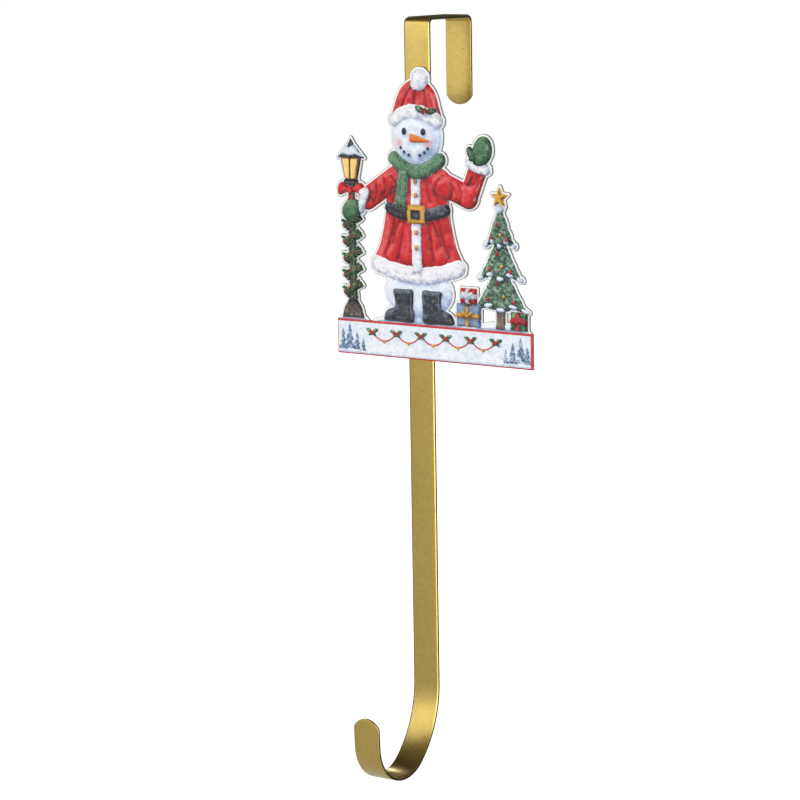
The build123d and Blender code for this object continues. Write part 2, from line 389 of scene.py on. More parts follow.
def snowman_head():
    cap = [(-18.5, 132), (-17, 142), (-12, 152), (-4, 157.5), (6, 157.5), (14, 151), (17.5, 142),
           (18.5, 132), (0, 136)]
    shapes = [(oval(0, 121.5, 19.5, 19.5), HEAD, 12, "snow"),
              (band((-18, 107), (0, 99), (18, 107), 9.5), TOP, 3, "scarf")]
    shapes += scarf_fringe()
    shapes += [
        (polygon([(-14, 100), (-5, 100), (-8, 76), (-17, 77)]), TOP + 0.2, 2.5, "scarf"),
        (smooth(cap), TOP, 7, "coat"),
        (ruffled(band((-17, 132), (0, 138), (17, 132), 9), 0.4, 2, 20), TOP + 0.4, 3.2, "fur"),
        (ruffled(oval(3, 158, 7, 7), 0.4, 2, 21), TOP, 5, "fur"),
        (leaf(9, 137.5, 9, 4.4, 155), TOP + 0.9, 1.6, "leaf"),
        (leaf(9, 137.5, 8.5, 4.4, 10), TOP + 0.9, 1.6, "leaf"),
    ]
    shapes += [(oval(9 + x, 137.3 + y, 1.2, 1.2), TOP + 1.3, 1.1, "berry")
               for x, y in ((-1.3, 0), (1.3, 0.4), (0, 2))]
    shapes += [(oval(side * 7.5, 125, 1.9, 2.3), HEAD + 0.3, 1.2, "coal") for side in (-1, 1)]
    shapes.append((smooth([(-2.5, 123.6), (-3.4, 121), (-2.5, 118.4), (3, 118), (12, 119), (3, 122.4)]),
                   HEAD + LOW, 2, "carrot"))
    for turn in (215, 232, 250, 290, 308, 325):
        x, y = math.cos(math.radians(turn)), math.sin(math.radians(turn))
        shapes.append((oval(13 * x, 121.5 + 12.5 * y, 1.1, 1.1), HEAD, 0.8, "coal"))
    return shapes


def far_fir(x, height):
    """Little fir of three ragged tiers."""
    ring = [(0, height)]
    for level in (0.66, 0.36, 0.06):
        half = height * 0.24 * (1.1 - level)
        ring = ring + [(half, height * level), (half * 0.55, height * (level + 0.03))]
    ring = ring + [(-x_side, y) for x_side, y in ring[:0:-1]]
    ragged = ruffled(polygon(ring), 0.3, 1, int(height))
    return placed(x, [(ragged + np.array([0, BOARD_FOOT]), 0.25, 0.8, "far_fir")])


def swag(start, end):
    """Hanging line between two points of the board."""
    t = np.linspace(0, 1, 18)
    path = np.column_stack([start + (end - start) * t, SWAG_TOP - 4 * SWAG_SAG * t * (1 - t)])
    return (along(path, SWAG_WIDTH), 0.25, 0.4, "border")


def sprig(x, y):
    """Four holly leaves round three berries."""
    shapes = [(leaf(0, 0, 5.6, 2.8, turn), 0.3, 1, "leaf") for turn in (20, 160)]
    shapes += [(leaf(0, 0, 4, 2.2, turn), 0.3, 1, "leaf") for turn in (-40, 220)]
    shapes += [(oval(dx, dy, 0.95, 0.95), 0.4, 0.8, "berry") for dx, dy in ((-1, 0.2), (1, 0.2), (0, -1.3))]
    return placed(x, [(ring + np.array([0, y]), *rest) for ring, *rest in shapes])


# Little firs at both ends of the board: place and height
FAR_FIRS = ((-62, 15), (-56.5, 18.5), (-50.5, 13), (-45.5, 9), (67.5, 10), (73, 15), (79, 18.5), (84, 13))


def board():
    """The board's print, nearly flat: border, sky, snowy ground, firs and a garland across it."""
    centre_x = (BOARD_LEFT + BOARD_RIGHT) / 2
    centre_y = -BOARD_HEIGHT / 2
    width = BOARD_RIGHT - BOARD_LEFT
    shapes = [(box(centre_x, centre_y, width, BOARD_HEIGHT), 0.35, 0.5, "border"),
              (box(centre_x - 0.3, centre_y - 0.3, width - 2.6, BOARD_HEIGHT - 2.6), 0.1, 0.5, "sky")]
    hills = [(BOARD_LEFT + 1.1 + (width - 2.8) * t, -16.2 + 1.6 * math.sin(9 * t) + 0.7 * math.sin(23 * t))
             for t in np.linspace(0, 1, 60)]
    hills += [(BOARD_RIGHT - 1.7, BOARD_FOOT - 1), (BOARD_LEFT + 1.1, BOARD_FOOT - 1)]
    shapes.append((polygon(hills), 0.18, 0.8, "far_snow"))
    for x, height in FAR_FIRS:
        shapes += far_fir(x, height)
    posts = np.linspace(SWAG_FROM, SWAG_TO, SWAG_POSTS)
    for start, end in zip(posts, posts[1:]):
        shapes.append(swag(start, end))
        shapes.append((oval((start + end) / 2, SWAG_TOP - SWAG_SAG - 0.4, 1.3, 1.3), 0.35, 0.9, "gold"))
    for x in posts:
        shapes += sprig(x, SWAG_TOP)
    return shapes


picture = snow_banks() + fir_tree()
picture += parcel(PARCEL_X, 1, 19, 15, "blue_paper", "gold")
picture += parcel(PARCEL_X, 16, 13, 10, "berry", "ribbon")
picture += parcel(TREE_X + 14, 1, 13, 12, "leaf", "berry")
picture += lamp_post() + snowman_body() + snowman_arms() + snowman_head()
BOARD_START = len(picture)
picture += board()


# Distances

def signed_distance(points, ring):
    """How far inside a ring each point is, below 0 outside, and the way in from its nearest side."""
    a = ring
    b = np.roll(ring, -1, axis=0)
    side = b - a
    to_point = points[:, None, :] - a[None]
    t = np.clip((to_point * side).sum(2) / np.maximum((side**2).sum(1), 1e-12), 0, 1)
    gap = to_point - side[None] * t[..., None]
    squared = (gap**2).sum(2)
    nearest = squared.argmin(1)
    rows = np.arange(len(points))
    distance = np.sqrt(squared[rows, nearest])
    above = a[None, :, 1] > points[:, 1, None]
    crosses = above != (b[None, :, 1] > points[:, 1, None])
    rise = np.where(np.abs(side[:, 1]) < 1e-9, 1e-9, side[:, 1])
    cross_x = a[:, 0] + (points[:, 1, None] - a[:, 1]) / rise * side[:, 0]
    inside = (crosses & (points[:, 0, None] < cross_x)).sum(1) % 2 == 1
    way_in = gap[rows, nearest] / np.maximum(distance, 1e-9)[:, None]
    sign = np.where(inside, 1.0, -1.0)
    return distance * sign, way_in * sign[:, None]


def near_field(points, ring, reach):
    """Signed distances of the points that lie within reach of a ring; far ones are below -reach."""
    low, high = ring.min(0) - reach, ring.max(0) + reach
    close = np.all((points > low) & (points < high), axis=1)
    distance = np.full(len(points), -1e3)
    way_in = np.zeros((len(points), 2))
    index = np.flatnonzero(close)
    for part in np.array_split(index, max(1, len(index) // 500)):
        if len(part):
            distance[part], way_in[part] = signed_distance(points[part], ring)
    return distance, way_in


def sheet_distance(points):
    """How far inside the cut edge of the sheet each point is."""
    best = np.full(len(points), -1e3)
    for number, (ring, *_) in enumerate(picture[:BOARD_START + 1]):
        grow = MARGIN if number < BOARD_START else 0
        distance, _ = near_field(points, ring, MARGIN + 1)
        best = np.maximum(best, distance + grow)
    return best


def grown(ring, margin):
    """A ring moved outwards, with round corners."""
    area = (ring[:, 0] * np.roll(ring[:, 1], -1) - np.roll(ring[:, 0], -1) * ring[:, 1]).sum()
    if area < 0:
        ring = ring[::-1]
    side = np.roll(ring, -1, axis=0) - ring
    normal = np.column_stack([side[:, 1], -side[:, 0]]) / np.linalg.norm(side, axis=1)[:, None]
    points = []
    for corner, before, after in zip(ring, np.roll(normal, 1, axis=0), normal):
        turn = math.atan2(before[0] * after[1] - before[1] * after[0], float(before @ after))
        steps = max(1, int(abs(turn) * margin / OUTLINE_STEP)) if turn > 0 else 1
        for i in range(steps + 1 if turn > 0.05 else 1):
            a = turn * i / steps if turn > 0.05 else turn / 2
            c, s = math.cos(a), math.sin(a)
            way_out = np.array([before[0] * c - before[1] * s, before[0] * s + before[1] * c])
            points.append(corner + margin * way_out)
    return np.array(points)


# Mesh of the plaque

def new_object(name, data):
    made = bpy.data.objects.new(name, data)
    bpy.context.collection.objects.link(made)
    return made


def triangulate(rings, grid_step):
    """Triangles over all rings, with their sides kept as edges and a loose grid between them."""
    low = np.min([r.min(0) for r in rings], axis=0)
    high = np.max([r.max(0) for r in rings], axis=0)
    xs = np.arange(low[0], high[0], grid_step)
    ys = np.arange(low[1], high[1], grid_step * 0.866)
    grid_x, grid_y = np.meshgrid(xs, ys)
    grid_x = grid_x + (np.arange(len(ys)) % 2)[:, None] * grid_step / 2
    grid = np.column_stack([grid_x.ravel(), grid_y.ravel()])
    grid = grid[sheet_distance(grid) > KEEP_OFF]
    clear = np.full(len(grid), True)
    for ring in rings:
        distance, _ = near_field(grid, ring, 1)
        clear &= np.abs(distance) > KEEP_OFF
    points = list(grid[clear])
    edges = []
    for ring in rings:
        first = len(points)
        points.extend(ring)
        edges += [(first + i, first + (i + 1) % len(ring)) for i in range(len(ring))]
    verts, _, faces, _, _, _ = delaunay_2d_cdt([Vector(p) for p in points], edges, [], 0, 1e-4)
    verts = np.array([tuple(v) for v in verts])
    faces = np.array(faces)
    centre = verts[faces].mean(1)
    return verts, faces[sheet_distance(centre) > 0.01]


# Creases of the coat and the cap, each through three points
COAT_FOLDS = (
    ((-9, 68), (-12, 54), (-15, 42)), ((-17, 68), (-21, 54), (-26, 44)), ((9, 68), (11, 56), (13, 42)),
    ((17, 68), (21, 55), (25, 44)), ((-13, 66), (-17, 60), (-19, 52)), ((13, 66), (16, 60), (19, 52)),
    ((-19, 95), (-16, 88), (-19, 79)), ((19, 95), (15, 88), (18, 79)), ((8, 96), (9, 88), (11, 80)),
    ((-33, 90), (-31, 84), (-34, 79)), ((-26, 93), (-24, 87), (-27, 83)), ((-38, 86), (-36, 82), (-38, 78)),
    ((34, 92), (36, 86), (34, 80)), ((28, 92), (29, 87), (26, 83)), ((44, 96), (41, 92), (38, 93)),
    ((48, 97), (46, 93), (42, 92)), ((-9, 141), (-5, 149), (0, 156)), ((10, 141), (9, 149), (6, 156)),
    ((0, 142), (1, 147), (2, 152)),
)
FOLD_WIDTH = 0.5
FOLD_DEPTH = 0.55
PUFF_POWER = 0.8
LIGHT_WAY = np.array([-0.55, 0.83])
CHEEKS = ((-11.5, 117.5), (11, 117.5))


def texture(points, paint):
    """Small relief of one paint's surface, in millimetres."""
    if paint == "fur":
        return 0.6 * (noise(points, 1.7, 3) - 0.5) + 0.35 * (noise(points, 0.9, 4) - 0.5)
    if paint in ("fir", "leaf"):
        return 0.75 * (noise(points * (0.8, 1), 1.4, 3) - 0.5) + 0.25 * (noise(points, 0.8, 9) - 0.5)
    if paint in ("snow", "far_snow"):
        return 0.26 * (noise(points, 3.4, 5) - 0.5) + 0.1 * (noise(points, 1.2, 8) - 0.5)
    if paint in ("scarf", "mitten"):
        ribs = np.sin((points[:, 0] + 0.25 * points[:, 1]) * 3.3)
        return 0.13 * ribs + 0.12 * (noise(points, 1.2, 6) - 0.5)
    if paint == "coat":
        return 0.34 * (noise(points, 4.2, 6) - 0.5) + 0.16 * (noise(points * (1, 0.4), 1.5, 10) - 0.5)
    if paint == "leather":
        return 0.34 * (noise(points, 2.6, 7) - 0.5)
    if paint == "bark":
        return 0.5 * (noise(points * (1.4, 0.35), 1.2, 7) - 0.5)
    if paint == "iron":
        return 0.24 * (noise(points, 1.5, 7) - 0.5)
    return 0.06 * (noise(points, 1.6, 3) - 0.5)


def crease(points, stroke):
    """How deep a fold cuts at each point, and the light and shade on its two sides."""
    off, way = near_field(points, band(*stroke, FOLD_WIDTH), 6)
    away = np.clip(-off, 0, 9)
    deep = np.exp(-away / 0.8)
    lit = (way @ LIGHT_WAY) * np.exp(-away / 1.9) * np.clip(away / 0.4, 0, 1)
    return deep, lit


def front_fields(points):
    """Height, painted light, nearness to an edge and blush of each point."""
    height = np.zeros(len(points))
    shade = np.full(len(points), 0.8)
    edge = np.zeros(len(points))
    top = np.full(len(points), -1)
    for number, (ring, rise, puff, _) in enumerate(picture):
        distance, way_in = near_field(points, ring, 3)
        inside = distance > 1e-4
        t = np.clip(distance / puff, 0, 1)
        domed = rise * np.sin(t * math.pi / 2) ** PUFF_POWER
        height = np.where(inside, np.maximum(height, domed), height)
        slope = -(way_in @ LIGHT_WAY) * (1 - t)
        shadow = np.exp(-np.clip(-distance, 0, 9) / 1.1) * (0.6 + 0.6 * (way_in @ LIGHT_WAY))
        depth = 0.4 if number < BOARD_START else 0.1
        shade = np.where(inside, 0.56 + 0.46 * slope, shade - np.where(distance > -3, depth * shadow, 0))
        edge = np.where(inside, np.exp(-np.maximum(distance, 0) / 0.5), edge)
        top[inside] = number
    for number, (ring, _, _, paint) in enumerate(picture):
        mine = np.flatnonzero(top == number)
        if len(mine) == 0:
            continue
        here = points[mine]
        distance, _ = near_field(here, ring, 3)
        soft = np.clip(distance / 1.2, 0, 1)
        bumps = texture(here, paint)
        height[mine] += soft * bumps
        shade[mine] += 0.55 * bumps
        for stroke in COAT_FOLDS if paint == "coat" else ():
            deep, lit = crease(here, stroke)
            height[mine] -= FOLD_DEPTH * deep * soft
            shade[mine] += 0.3 * lit - 0.34 * deep
    blush = np.zeros(len(points))
    for centre in CHEEKS:
        blush = np.maximum(blush, np.exp(-((points - centre) ** 2).sum(1) / 7))
    return height, np.clip(shade, 0, 1), edge, blush


def back_height(points):
    """Depth of the hollows behind the relief, one sheet's thickness inside each outline."""
    height = np.zeros(len(points))
    for ring, rise, puff, _ in picture:
        distance, _ = near_field(points, ring, 1)
        t = np.clip((distance - SHEET) / puff, 0, 1)
        height = np.maximum(height, (rise - BACK_SLACK) * np.sin(t * math.pi / 2) ** PUFF_POWER)
    return height


def build_plaque(paints):
    """The embossed sheet as one closed mesh: painted front, hollow back and a cut edge between them."""
    rings = [ring for ring, *_ in picture]
    figures = rings[:BOARD_START]
    cut = [grown(ring, MARGIN) for ring in figures]
    roll = [grown(ring, MARGIN - EDGE_BAND) for ring in figures]
    verts, faces = triangulate(rings + cut + roll, FRONT_STEP)
    used = np.unique(faces)
    renumber = np.full(len(verts), -1)
    renumber[used] = np.arange(len(used))
    verts, faces = verts[used], renumber[faces]
    height, shade, edge, blush = front_fields(verts)
    inner = np.clip(sheet_distance(verts) / EDGE_BAND, 0, 1)
    z = SHEET + height - EDGE_ROLL * (1 - inner) ** 2

    sides = dict.fromkeys(side for a, b, c in faces for side in ((a, b), (b, c), (c, a)))
    rim = [(a, b) for a, b in sides if (b, a) not in sides]
    rim_verts = sorted({v for side in rim for v in side})

    grid_low, grid_high = verts.min(0), verts.max(0)
    xs = np.arange(grid_low[0], grid_high[0], BACK_STEP)
    ys = np.arange(grid_low[1], grid_high[1], BACK_STEP)
    grid = np.array([(x, y) for x in xs for y in ys])
    grid = grid[sheet_distance(grid) > BACK_STEP * 0.5]
    place = {v: i for i, v in enumerate(rim_verts)}
    points = [Vector(verts[v]) for v in rim_verts] + [Vector(p) for p in grid]
    edges = [(place[a], place[b]) for a, b in rim]
    back, _, back_faces, origin, _, _ = delaunay_2d_cdt(points, edges, [], 0, 1e-5)
    back = np.array([tuple(v) for v in back])
    back_faces = np.array(back_faces)
    back_faces = back_faces[sheet_distance(back[back_faces].mean(1)) > 0.01]
    first = len(verts)
    rim_back = {}
    for new, old in enumerate(origin):
        for i in old:
            if i < len(rim_verts):
                rim_back[rim_verts[i]] = first + new

    all_xy = np.vstack([verts, back])
    all_z = np.concatenate([z, back_height(back)])
    coords = np.column_stack([all_xy[:, 0], PLAQUE_BACK_Y - all_z, BOARD_TOP_Z + all_xy[:, 1]]) * MM
    quads = [(b, a, rim_back[a], rim_back[b]) for a, b in rim if a in rim_back and b in rim_back]
    polys = [tuple(f) for f in faces] + [tuple(f[::-1] + first) for f in back_faces] + quads

    names = list(paints)
    centre = verts[faces].mean(1)
    owner = np.full(len(faces), names.index("margin"))
    owner[sheet_distance(centre) < EDGE_BAND] = names.index("cut_edge")
    for ring, _, _, paint in picture:
        distance, _ = near_field(centre, ring, 0.5)
        owner[distance > 0] = names.index(paint)
    owner = np.concatenate([owner, np.full(len(back_faces), names.index("back")),
                            np.full(len(quads), names.index("cut_edge"))])

    mesh = bpy.data.meshes.new("plaque_art")
    mesh.from_pydata([tuple(c) for c in coords], [], [tuple(int(i) for i in p) for p in polys])
    for paint in names:
        mesh.materials.append(paints[paint])
    mesh.polygons.foreach_set("material_index", owner.astype(np.int32))
    mesh.polygons.foreach_set("use_smooth", np.ones(len(polys), bool))
    for name, values, behind in (("shade", shade, 0.6), ("rim", edge, 0), ("blush", blush, 0)):
        filled = np.concatenate([values, np.full(len(back), behind)])
        mesh.attributes.new(name, "FLOAT", "POINT").data.foreach_set("value", filled.astype(np.float32))
    mesh.update()
    return new_object("plaque_art", mesh)


# Mesh of the strap

def strap_stations():
    """Centreline of the strap from the rear tip to the hook's tip: length so far, place and heading."""
    leg_y = strap_high.y / MM - STRAP_THICKNESS / 2
    bridge_z = strap_high.z / MM - STRAP_THICKNESS / 2
    bend = TOP_BEND + STRAP_THICKNESS / 2
    runs = [
        ("line", REAR_LEG + bridge_z - bend),
        ("arc", bend, 90),
        ("line", 2 * (leg_y - bend)),
        ("arc", bend, 90),
        ("line", bridge_z - bend + HOOK_START),
        ("arc", LEAD_RADIUS + STRAP_THICKNESS / 2, -LEAD_ANGLE),
        ("arc", BOWL_RADIUS + STRAP_THICKNESS / 2, -BOWL_ANGLE),
        ("line", HOOK_ARM),
    ]
    place = np.array([leg_y, -REAR_LEG])
    heading = math.pi / 2
    stations = [(0.0, place, heading)]
    for kind, size, *turn in runs:
        length, place, heading = stations[-1]
        if kind == "line":
            along_way = np.array([math.cos(heading), math.sin(heading)])
            steps = max(2, int(size / LINE_STEP))
            stations += [(length + size * i / steps, place + along_way * size * i / steps, heading)
                         for i in range(1, steps + 1)]
            continue
        angle = math.radians(turn[0])
        side = math.copysign(1, angle)
        centre = place + side * size * np.array([-math.sin(heading), math.cos(heading)])
        steps = max(10, int(size * abs(angle) / ARC_STEP))
        for i in range(1, steps + 1):
            now = heading + angle * i / steps
            spot = centre - side * size * np.array([-math.sin(now), math.cos(now)])
            stations.append((length + size * abs(angle) * i / steps, spot, now))
    return stations


def strap_outline(length):
    """Half the width, then both round tips: place along the strip, half width there and the way out."""
    half = (strap_high.x - strap_low.x) / MM / 2
    radius = (half**2 + TIP_RISE**2) / (2 * TIP_RISE)
    widest = math.asin(half / radius)
    turns = np.linspace(0, widest, TIP_STEPS)
    tip = [(radius * (1 - math.cos(a)), radius * math.sin(a), math.sin(a), -math.cos(a)) for a in turns]
    return half, tip, [(length - s, w, out, -back) for s, w, out, back in reversed(tip)]


def build_strap():
    """The strap as one closed mesh along its centreline, with wider bevels outside than inside."""
    stations = strap_stations()
    lengths = np.array([length for length, _, _ in stations])
    places = np.array([place for _, place, _ in stations])
    headings = np.array([heading for _, _, heading in stations])
    total = lengths[-1]
    half, rear_tip, hook_tip = strap_outline(total)
    first, last = rear_tip[-1][0] + TIP_CLEAR, hook_tip[0][0] - TIP_CLEAR
    middle = [(s, half, 1.0, 0.0) for s in lengths if first < s < last]
    side = np.array(rear_tip + middle + hook_tip)
    left = side[-2:0:-1] * (1, -1, -1, 1)
    ring = np.vstack([side, left])
    count = len(ring)
    edge = [(inset, drop - STRAP_THICKNESS / 2) for inset, drop in SMALL_BEVEL]
    edge += [(inset, STRAP_THICKNESS / 2 - drop) for inset, drop in reversed(WIDE_BEVEL)]
    coords = []
    for inset, level in edge:
        s = ring[:, 0] - inset * ring[:, 3]
        x = ring[:, 1] - inset * ring[:, 2]
        y = np.interp(s, lengths, places[:, 0])
        z = np.interp(s, lengths, places[:, 1])
        heading = np.interp(s, lengths, headings)
        coords.append(np.column_stack([x, y + level * np.sin(heading), z - level * np.cos(heading)]))
    layers = len(coords)
    polys = []
    for layer in range(layers - 1):
        low = layer * count
        for i in range(count):
            j = (i + 1) % count
            polys.append((low + i, low + j, low + count + j, low + count + i))
    for layer, flip in ((0, True), (layers - 1, False)):
        start = layer * count
        for i in range(len(side) - 1):
            right, ahead = start + i, start + i + 1
            left_now, left_ahead = start + (count - i) % count, start + count - i - 1
            corners = [right, ahead, left_ahead, left_now]
            kept = [c for k, c in enumerate(corners) if c not in corners[:k]]
            polys.append(tuple(kept[::-1] if flip else kept))
    mesh = bpy.data.meshes.new("strap_art")
    mesh.from_pydata([tuple(c) for c in np.vstack(coords) * MM], [], polys)
    mesh.polygons.foreach_set("use_smooth", np.ones(len(polys), bool))
    mesh.update()
    return new_object("strap_art", mesh)


# Materials

def srgb(red, green, blue):
    """Colour as seen on screen, 0 to 255, as the shader's linear colour."""
    def linear(value):
        value /= 255
        return value / 12.92 if value <= 0.04045 else ((value + 0.055) / 1.055) ** 2.4
    return (linear(red), linear(green), linear(blue), 1)


def new_material(name):
    """A material with its nodes, its links and its shader."""
    material = bpy.data.materials.new(name)
    material.use_nodes = True
    nodes = material.node_tree.nodes
    return material, nodes, material.node_tree.links, nodes["Principled BSDF"]


def add_noise(nodes, links, scale, detail, roughness=0.55, distortion=0):
    where = nodes.new("ShaderNodeTexCoord")
    tex = nodes.new("ShaderNodeTexNoise")
    tex.inputs["Scale"].default_value = scale
    tex.inputs["Detail"].default_value = detail
    tex.inputs["Roughness"].default_value = roughness
    tex.inputs["Distortion"].default_value = distortion
    links.new(where.outputs["Object"], tex.inputs["Vector"])
    return tex.outputs["Fac"]


def feed(links, socket, value):
    """Sets a socket to a plain value, or links it."""
    if isinstance(value, (int, float, tuple)):
        socket.default_value = value
    else:
        links.new(value, socket)


def add_math(nodes, links, operation, first, second):
    node = nodes.new("ShaderNodeMath")
    node.operation = operation
    feed(links, node.inputs[0], first)
    feed(links, node.inputs[1], second)
    return node.outputs[0]


def attribute(nodes, name):
    node = nodes.new("ShaderNodeAttribute")
    node.attribute_name = name
    return node.outputs["Fac"]


def mix_colour(nodes, links, factor, first, second, blend="MIX"):
    node = nodes.new("ShaderNodeMix")
    node.data_type = "RGBA"
    node.blend_type = blend
    for name, value in (("Factor", factor), ("A", first), ("B", second)):
        feed(links, node.inputs[name], value)
    return node.outputs["Result"]


def spread(nodes, links, value, low, high, to_low, to_high):
    node = nodes.new("ShaderNodeMapRange")
    for name, number in (("From Min", low), ("From Max", high), ("To Min", to_low), ("To Max", to_high)):
        node.inputs[name].default_value = number
    links.new(value, node.inputs["Value"])
    return node.outputs["Result"]


def add_bump(nodes, links, shader, height, depth):
    """Fine unevenness of the surface, its depth in metres."""
    bump = nodes.new("ShaderNodeBump")
    bump.inputs["Strength"].default_value = 0.3
    bump.inputs["Distance"].default_value = depth
    links.new(height, bump.inputs["Height"])
    links.new(bump.outputs["Normal"], shader.inputs["Normal"])


def tones(nodes, links, value, dark, mid, light):
    """Three-step ramp from a shadow tone to a light tone."""
    ramp = nodes.new("ShaderNodeValToRGB")
    ramp.color_ramp.elements[0].position = 0.1
    ramp.color_ramp.elements[0].color = srgb(*dark)
    ramp.color_ramp.elements[1].position = 0.95
    ramp.color_ramp.elements[1].color = srgb(*light)
    middle = ramp.color_ramp.elements.new(0.54)
    middle.color = srgb(*mid)
    links.new(value, ramp.inputs["Fac"])
    return ramp.outputs["Color"]


BLUSH = (232, 140, 140)
PRINT_ROUGHNESS = 0.34
GLOSS_WEIGHT = 0.6
GLOSS_ROUGHNESS = 0.07


def painted(name, dark, mid, light, mottle, edge_dark, speckle=0.0, speckle_colour=None, cells=0.0):
    """Painted print: the picture's own light and shade, brush mottling, and a clear gloss over it."""
    material, nodes, links, shader = new_material(name)
    brush = add_noise(nodes, links, BRUSH_SCALE, 6, 0.66, 0.7)
    centred = add_math(nodes, links, "SUBTRACT", brush, 0.5)
    mottled = add_math(nodes, links, "MULTIPLY", centred, mottle)
    value = add_math(nodes, links, "ADD", attribute(nodes, "shade"), mottled)
    rimmed = add_math(nodes, links, "MULTIPLY", attribute(nodes, "rim"), edge_dark)
    value = add_math(nodes, links, "SUBTRACT", value, rimmed)
    if cells:
        where = nodes.new("ShaderNodeTexCoord")
        flakes = nodes.new("ShaderNodeTexVoronoi")
        flakes.inputs["Scale"].default_value = LEAF_SCALE
        links.new(where.outputs["Object"], flakes.inputs["Vector"])
        tone = spread(nodes, links, flakes.outputs["Color"], 0, 1, -cells, cells)
        value = add_math(nodes, links, "ADD", value, tone)
    colour = tones(nodes, links, value, dark, mid, light)
    if speckle:
        grain = add_noise(nodes, links, SPECKLE_SCALE, 2, 0.6)
        dots = spread(nodes, links, grain, 0.55, 0.68, 0, speckle)
        colour = mix_colour(nodes, links, dots, colour, srgb(*speckle_colour))
    if name == "snow":
        pink = add_math(nodes, links, "MULTIPLY", attribute(nodes, "blush"), 0.75)
        colour = mix_colour(nodes, links, pink, colour, srgb(*BLUSH))
    links.new(colour, shader.inputs["Base Color"])
    shader.inputs["Roughness"].default_value = PRINT_ROUGHNESS
    shader.inputs["Specular IOR Level"].default_value = 0.2
    shader.inputs["Coat Weight"].default_value = GLOSS_WEIGHT
    shader.inputs["Coat Roughness"].default_value = GLOSS_ROUGHNESS
    ripple = add_noise(nodes, links, RIPPLE_SCALE, 3)
    add_bump(nodes, links, shader, ripple, RIPPLE_DEPTH)
    return material


BLUE_SPECK = (140, 164, 200)
# Every paint of the print: material, shadow, middle and light tone, then how it is broken up
PAINTS = {
    "margin": ("sheet_margin", (196, 202, 208), (238, 240, 242), (250, 250, 250), 0.15, 0),
    "snow": ("snow", (140, 163, 200), (232, 239, 246), (254, 254, 254), 0.7, 0.3, 0.35, BLUE_SPECK),
    "fur": ("white_fur", (156, 163, 188), (241, 241, 245), (255, 254, 253),
            0.7, 0.35, 0.35, (200, 188, 200)),
    "coat": ("red_cloth", (98, 4, 12), (206, 22, 30), (240, 112, 108), 0.75, 0.5, 0.25, (230, 100, 96)),
    "berry": ("berry_red", (112, 6, 16), (206, 26, 34), (244, 128, 122), 0.4, 0.45),
    "ribbon": ("white_ribbon", (160, 168, 184), (232, 234, 238), (253, 253, 253), 0.4, 0.35),
    "leather": ("black_leather", (8, 9, 12), (34, 37, 44), (128, 142, 160),
                0.95, 0.3, 0.45, (98, 110, 128)),
    "coal": ("coal", (8, 9, 12), (26, 28, 34), (104, 112, 126), 0.4, 0.2),
    "gold": ("yellow_gold", (122, 74, 16), (222, 166, 50), (252, 230, 146), 0.5, 0.45),
    "mitten": ("green_wool", (16, 42, 30), (52, 98, 66), (136, 174, 130), 0.8, 0.4, 0.35, (138, 172, 142)),
    "scarf": ("scarf_wool", (18, 48, 36), (58, 110, 78), (156, 194, 152), 0.7, 0.4, 0.45, (214, 226, 208)),
    "fir": ("fir_green", (14, 34, 30), (48, 86, 62), (150, 182, 158), 1.0, 0.3, 0.5, (196, 214, 212), 0.26),
    "leaf": ("leaf_green", (12, 38, 22), (52, 100, 54), (150, 186, 128),
             0.8, 0.3, 0.4, (196, 214, 190), 0.26),
    "bark": ("bark", (44, 34, 30), (104, 88, 78), (170, 158, 146), 1.2, 0.3, 0.3, (190, 180, 170)),
    "iron": ("lamp_iron", (24, 21, 20), (72, 64, 60), (168, 160, 152), 1.2, 0.3, 0.45, (158, 150, 144)),
    "glow": ("lamp_glow", (222, 152, 56), (250, 212, 118), (255, 246, 210), 0.6, 0.25),
    "carrot": ("carrot", (168, 62, 12), (234, 118, 36), (252, 184, 112), 0.5, 0.4),
    "blue_paper": ("blue_paper", (52, 74, 108), (118, 144, 176), (200, 216, 230),
                   0.8, 0.4, 0.4, (214, 224, 234)),
    "border": ("board_border", (150, 20, 28), (198, 34, 42), (230, 92, 94), 0.4, 0),
    "sky": ("board_sky", (168, 192, 222), (232, 238, 245), (254, 254, 254), 1.3, 0, 0.3, (172, 194, 220)),
    "far_snow": ("board_snow", (176, 194, 218), (238, 242, 247), (254, 254, 254),
                 1.3, 0.25, 0.4, (190, 202, 220)),
    "far_fir": ("board_fir", (36, 62, 102), (92, 122, 160), (236, 242, 248),
                2.4, 0.1, 0.65, (240, 245, 250)),
    "back": ("back_lacquer", (140, 140, 138), (168, 168, 166), (190, 190, 188), 0.15, 0),
    "cut_edge": ("cut_edge", (70, 76, 72), (120, 128, 120), (176, 182, 176), 0.7, 0),
}

DEEP_GOLD = (186, 158, 78)
PALE_GOLD = (208, 181, 95)
PIT_BROWN = (98, 78, 36)
# Painted shade: near-black colour on the strap's side faces, in place of a dark reflection
SIDE_SHADE_BROWN = (34, 28, 20)
SIDE_SHADE_FACING = (0.64, 0.8)
SATIN = (0.24, 0.38)


